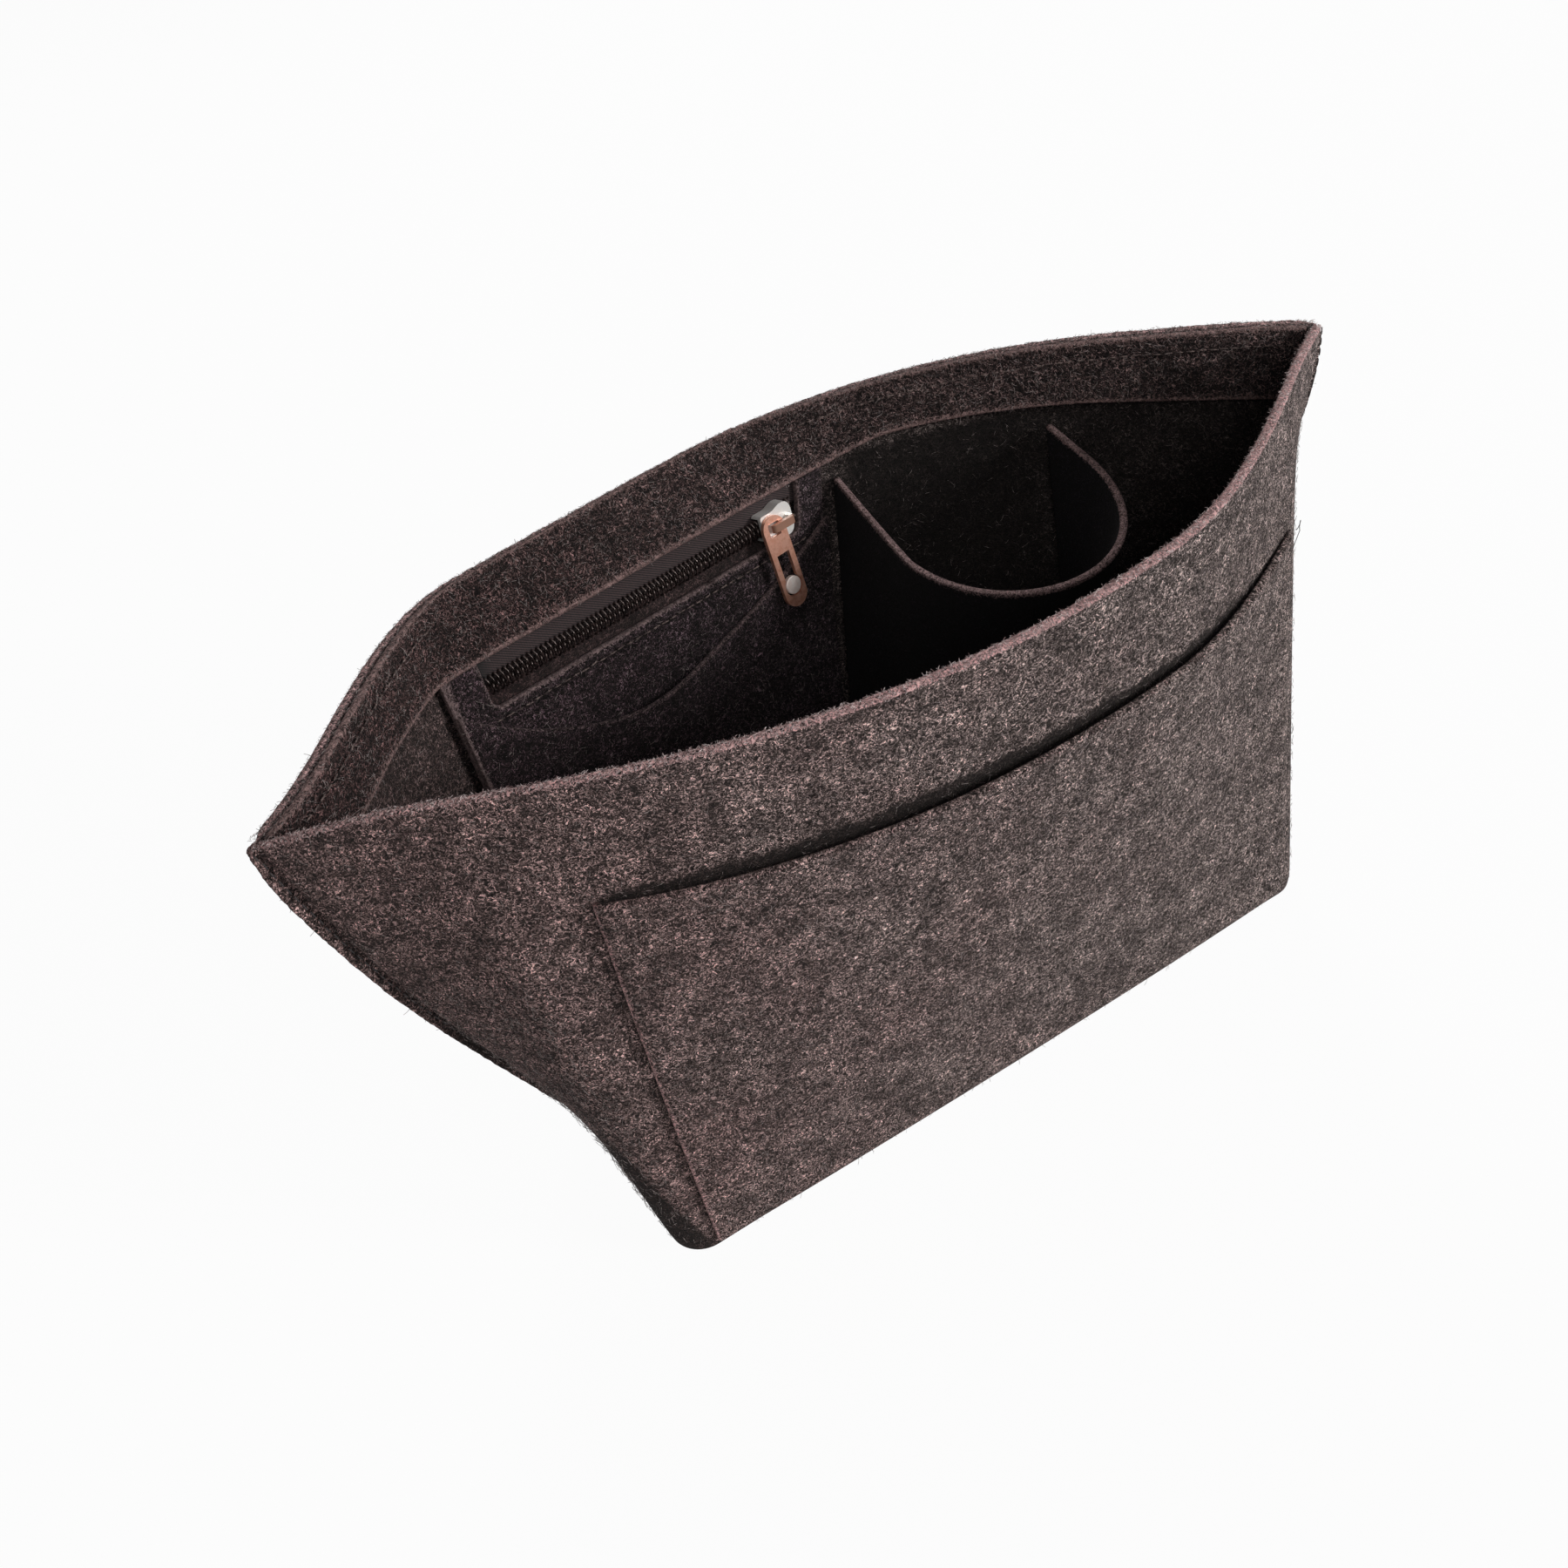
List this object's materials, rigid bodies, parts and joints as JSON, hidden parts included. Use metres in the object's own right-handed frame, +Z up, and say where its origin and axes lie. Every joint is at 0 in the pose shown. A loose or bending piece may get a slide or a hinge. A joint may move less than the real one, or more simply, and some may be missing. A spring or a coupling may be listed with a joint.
{
  "type": "felt cosmetic bag",
  "caption": "Open felt cosmetic bag with a lens-shaped mouth, a flat base, an outer pocket, and inside a coil zip pocket, a scooped slip pocket and a bottle loop.",
  "frame": {"origin": "middle of the underside of the base, where the bag rests", "axes": "+Z up, +X to the right seen from the front, +Y to the back wall with the zip"},
  "size_m": [0.2736, 0.1274, 0.146],
  "materials": {
    "felt": "brushed melange felt",
    "tape": "woven twill",
    "coil": "glossy black",
    "slider": "polished white metal",
    "pull": "satin copper plate"
  },
  "bodies": {
    "bag": {"front_panel": "felt", "back_panel": "felt", "base_panel": "felt", "rim_facing": "felt", "outer_pocket": "felt", "zip_pocket_panel": "felt", "slip_pocket": "felt", "bottle_pocket": "felt", "zip_tape_upper": "tape", "zip_tape_lower": "tape", "zip_coil_upper": "coil", "zip_coil_lower": "coil"},
    "slider": {"slider_body": "slider"},
    "pull": {"pull_tab": "pull", "pull_disc": "slider"}
  },
  "joints": [
    {"name": "zip_slide", "type": "slide", "parent": "bag", "child": "slider", "axis": [-0.9802, -0.1955, 0.0303], "range_m": [0, 0.079], "deforming": ["zip_tape_upper", "zip_tape_lower", "zip_coil_upper", "zip_coil_lower"]},
    {"name": "pull_swing", "type": "hinge", "parent": "slider", "child": "pull", "pos_m": [0.00078, 0.05308, 0.12061], "axis": [0.1979, -0.9673, 0.1585], "range_deg": [-80, 25]}
  ]
}
